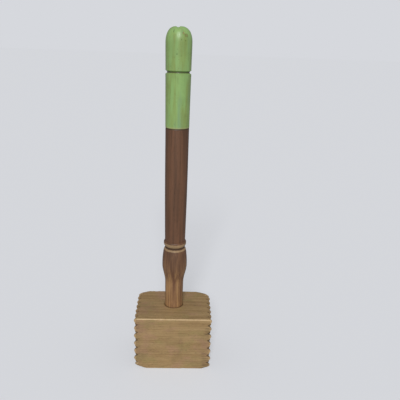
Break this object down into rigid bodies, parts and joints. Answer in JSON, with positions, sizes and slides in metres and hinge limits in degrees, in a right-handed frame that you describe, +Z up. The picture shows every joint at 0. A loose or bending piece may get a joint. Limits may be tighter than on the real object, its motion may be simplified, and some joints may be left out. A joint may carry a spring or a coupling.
{
  "type": "meat tenderizer",
  "caption": "Wooden meat tenderizer: block head with pyramid teeth on both striking faces, on a turned handle with a bulb, a bead and a painted grip end.",
  "frame": {"origin": "middle of the head's underside, on the surface that the tool stands on", "axes": "+Z up the handle, X through the two toothed striking faces, +Y from the front of the head to its back"},
  "size_m": [0.078, 0.057, 0.3315],
  "materials": {
    "head_wood": "bare hardwood, worn smooth and darkened by use, end grain on the two striking faces",
    "handle_finish": "brown stain worn pale towards the foot, with pale green enamel from the scribed line to the top",
    "wedge_wood": "bare hardwood, end grain showing flush with the underside"
  },
  "bodies": {
    "root": {"head_block": "head_wood", "handle": "handle_finish", "tenon_wedge": "wedge_wood"}
  },
  "joints": []
}
